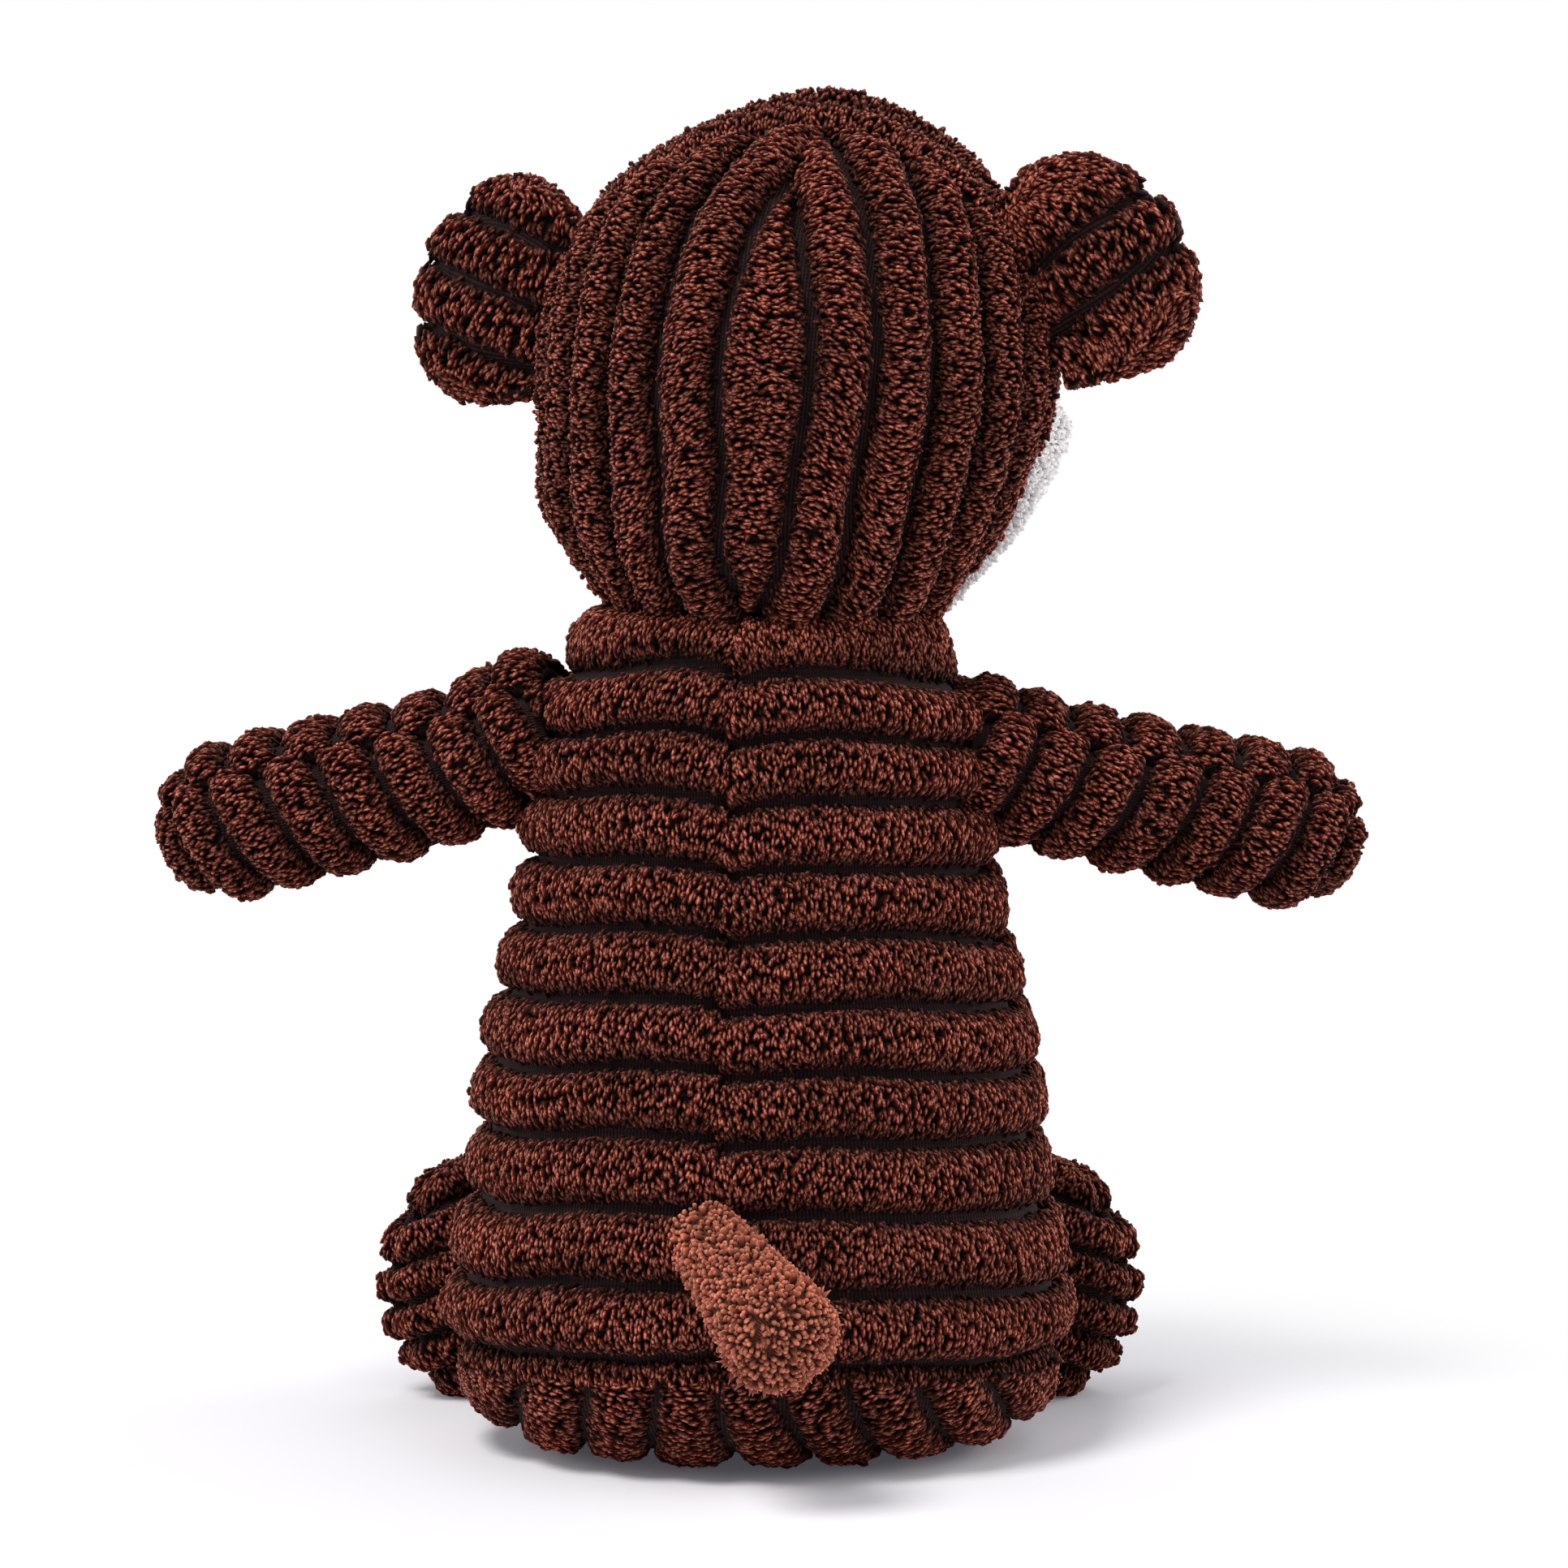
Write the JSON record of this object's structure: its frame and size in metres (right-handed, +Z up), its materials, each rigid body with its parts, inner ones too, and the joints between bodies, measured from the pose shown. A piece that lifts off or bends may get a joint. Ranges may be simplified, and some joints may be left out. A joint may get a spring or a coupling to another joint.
{
  "type": "plush dog toy",
  "caption": "Sitting plush monkey dog toy with wide-wale corduroy covers, stuffed limbs and tail that flex at their seams, and a squeaker in the belly.",
  "frame": {"origin": "middle of the flat under the seat", "axes": "+Z up through the head, the face towards -Y, the toy's left arm towards +X"},
  "size_m": [0.1862, 0.1256, 0.2039],
  "materials": {
    "corduroy": "wide-wale pile",
    "face_plush": "short pile",
    "tail_plush": "curly pile",
    "fibre": "loose polyester fibre",
    "embroidery": "satin thread",
    "squeaker_plastic": "soft translucent"
  },
  "bodies": {
    "torso": {"torso_back_left": "corduroy", "torso_back_right": "corduroy", "torso_front": "corduroy", "seat_panel": "corduroy", "torso_filling": "fibre", "filling_wad": "fibre", "squeaker_cup": "squeaker_plastic", "reed_tube": "squeaker_plastic", "reed": "squeaker_plastic"},
    "dome": {"squeaker_dome": "squeaker_plastic"},
    "head": {"head_back_left": "corduroy", "head_back_right": "corduroy", "head_hood": "corduroy", "face_panel": "face_plush", "head_filling": "fibre", "muzzle_panel": "face_plush", "eye_left": "embroidery", "eye_right": "embroidery", "nose": "embroidery", "mouth_stitch": "embroidery"},
    "ear_left": {"ear_left_back": "corduroy", "ear_left_front": "corduroy"},
    "ear_right": {"ear_right_back": "corduroy", "ear_right_front": "corduroy"},
    "arm_left": {"arm_left_back": "corduroy", "arm_left_front": "corduroy", "arm_left_filling": "fibre"},
    "arm_right": {"arm_right_back": "corduroy", "arm_right_front": "corduroy", "arm_right_filling": "fibre"},
    "leg_left": {"leg_left_cover": "corduroy", "foot_left_sole": "corduroy", "leg_left_filling": "fibre"},
    "leg_right": {"leg_right_cover": "corduroy", "foot_right_sole": "corduroy", "leg_right_filling": "fibre"},
    "tail": {"tail_cover": "tail_plush", "tail_filling": "fibre"}
  },
  "joints": [
    {"name": "neck_turn", "type": "hinge", "parent": "torso", "child": "head", "pos_m": [-0.0045, -0.01, 0.142], "axis": [-0.0698, 0, 0.9976], "range_deg": [-25, 25], "stiffness_Nm_per_rad": 0.05},
    {"name": "ear_left_fold", "type": "hinge", "parent": "head", "child": "ear_left", "pos_m": [0.03146, -0.01425, 0.17058], "axis": [-0.3231, 0.036, 0.9457], "range_deg": [-5, 45], "stiffness_Nm_per_rad": 0.003},
    {"name": "ear_right_fold", "type": "hinge", "parent": "head", "child": "ear_right", "pos_m": [-0.04268, -0.00271, 0.17191], "axis": [0.3704, -0.061, 0.9269], "range_deg": [-25, 25], "stiffness_Nm_per_rad": 0.003},
    {"name": "shoulder_left", "type": "hinge", "parent": "torso", "child": "arm_left", "pos_m": [0.03456, -0.00833, 0.105], "axis": [-0.2588, -0.9659, 0], "range_deg": [-20, 40], "stiffness_Nm_per_rad": 0.08},
    {"name": "shoulder_right", "type": "hinge", "parent": "torso", "child": "arm_right", "pos_m": [-0.03456, -0.00833, 0.105], "axis": [-0.2588, 0.9659, 0], "range_deg": [-20, 40], "stiffness_Nm_per_rad": 0.08},
    {"name": "hip_left", "type": "hinge", "parent": "torso", "child": "leg_left", "pos_m": [0.03135, -0.03189, 0.0204], "axis": [-0.6947, -0.7193, 0], "range_deg": [-20, 25], "stiffness_Nm_per_rad": 0.06},
    {"name": "hip_right", "type": "hinge", "parent": "torso", "child": "leg_right", "pos_m": [-0.03135, -0.03189, 0.0204], "axis": [-0.6947, 0.7193, 0], "range_deg": [-20, 25], "stiffness_Nm_per_rad": 0.06},
    {"name": "tail_wag", "type": "hinge", "parent": "torso", "child": "tail", "pos_m": [0.006, 0.03557, 0.034], "axis": [-0.1583, 0.3918, 0.9063], "range_deg": [-25, 10], "stiffness_Nm_per_rad": 0.01},
    {"name": "squeaker_press", "type": "slide", "parent": "torso", "child": "dome", "axis": [0, 1, 0], "range_m": [0, 0.004], "stiffness_N_per_m": 60}
  ]
}
